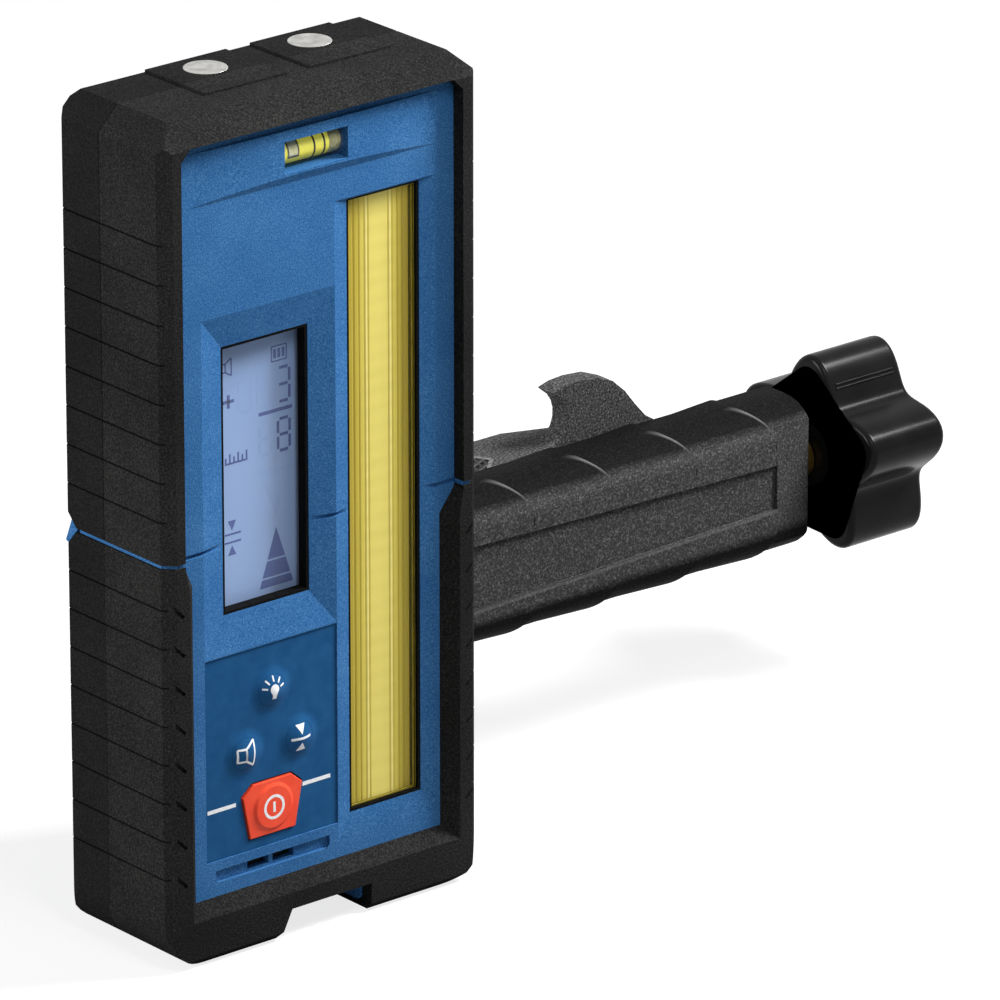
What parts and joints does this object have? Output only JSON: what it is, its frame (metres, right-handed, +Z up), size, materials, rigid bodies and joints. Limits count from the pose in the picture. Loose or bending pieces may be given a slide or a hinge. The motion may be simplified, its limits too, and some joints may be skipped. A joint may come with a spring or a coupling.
{
  "type": "laser receiver",
  "caption": "Laser receiver in a rubber bumper with display, reception window, keypad and vial, on a bracket whose screw clamp grips a levelling staff.",
  "frame": {"origin": "on the base, at mid-width, on the plane where the front and rear shells part", "axes": "+Z up, +X to the right along the clamp arm, the display faces -Y"},
  "size_m": [0.225, 0.0643, 0.175],
  "materials": {
    "blue_housing": "satin, fine texture",
    "seal_rubber": "matte",
    "bright_steel": "bright",
    "bumper_rubber": "matte, fine texture",
    "magnet_nickel": "nickel plated",
    "vial_glass": "clear",
    "gasket_black": "matte",
    "lens_clear": "clear",
    "lcd_glass": "satin",
    "window_tint": "tinted",
    "guide_acrylic": "ribbed",
    "board_green": "solder mask",
    "keypad_blue": "matte",
    "power_red": "satin",
    "switch_grey": "matte",
    "black_plastic": "satin",
    "cell_jacket": "printed jacket",
    "brass": "turned",
    "bracket_nylon": "fine texture",
    "knob_gloss": "gloss",
    "pad_rubber": "ribbed"
  },
  "bodies": {
    "receiver": {"front_housing": "blue_housing", "rear_housing": "blue_housing", "housing_seal": "seal_rubber", "housing_screws": "bright_steel", "door_hinge_pin": "bright_steel", "battery_springs": "bright_steel", "battery_contacts": "bright_steel", "front_bumper_upper": "bumper_rubber", "front_bumper_lower": "bumper_rubber", "rear_bumper_upper": "bumper_rubber", "rear_bumper_lower": "bumper_rubber", "top_magnets": "magnet_nickel", "bubble_vial": "vial_glass", "display_gasket": "gasket_black", "window_gasket": "gasket_black", "display_lens": "lens_clear", "lcd_module": "lcd_glass", "reception_window": "window_tint", "light_guide": "guide_acrylic", "sensor_board": "board_green", "main_board": "board_green", "keypad_film": "keypad_blue", "key_switches": "switch_grey", "buzzer": "black_plastic", "battery_cells": "cell_jacket", "thread_insert": "brass", "spindle_bush": "brass", "bracket_arm": "bracket_nylon", "fixed_jaw_pad": "pad_rubber"},
    "light_button": {"light_button": "keypad_blue"},
    "volume_button": {"volume_button": "keypad_blue"},
    "accuracy_button": {"accuracy_button": "keypad_blue"},
    "power_button": {"power_button": "power_red"},
    "battery_door": {"battery_door": "blue_housing"},
    "clamp_screw": {"clamp_spindle": "bright_steel", "thrust_collar": "bright_steel", "star_knob": "knob_gloss", "knob_cap": "knob_gloss"},
    "jaw": {"sliding_jaw": "bracket_nylon", "sliding_jaw_pad": "pad_rubber", "jaw_nut": "brass"},
    "fixing_knob": {"fixing_screw": "bright_steel", "thumb_knob": "black_plastic"}
  },
  "joints": [
    {"name": "light_press", "type": "slide", "parent": "receiver", "child": "light_button", "axis": [0, 1, 0], "range_m": [0, 0.0008], "stiffness_N_per_m": 600},
    {"name": "volume_press", "type": "slide", "parent": "receiver", "child": "volume_button", "axis": [0, 1, 0], "range_m": [0, 0.0008], "stiffness_N_per_m": 600},
    {"name": "accuracy_press", "type": "slide", "parent": "receiver", "child": "accuracy_button", "axis": [0, 1, 0], "range_m": [0, 0.0008], "stiffness_N_per_m": 600},
    {"name": "power_press", "type": "slide", "parent": "receiver", "child": "power_button", "axis": [0, 1, 0], "range_m": [0, 0.0008], "stiffness_N_per_m": 600},
    {"name": "door_swing", "type": "hinge", "parent": "receiver", "child": "battery_door", "pos_m": [0, 0.011, 0.155], "axis": [1, 0, 0], "range_deg": [0, 100]},
    {"name": "knob_turn", "type": "hinge", "parent": "receiver", "child": "clamp_screw", "pos_m": [0.161, 0.0236, 0.048], "axis": [-1, 0, 0], "range_deg": [-1728, 3960]},
    {"name": "jaw_slide", "type": "slide", "parent": "receiver", "child": "jaw", "axis": [-1, 0, 0], "range_m": [-0.024, 0.055]},
    {"name": "fixing_turn", "type": "hinge", "parent": "receiver", "child": "fixing_knob", "pos_m": [0, 0.029, 0.046], "axis": [0, 1, 0], "continuous": true}
  ],
  "couplings": [
    {"joint": "jaw_slide", "follows": "knob_turn", "m_per_rad": 0.00079577}
  ]
}
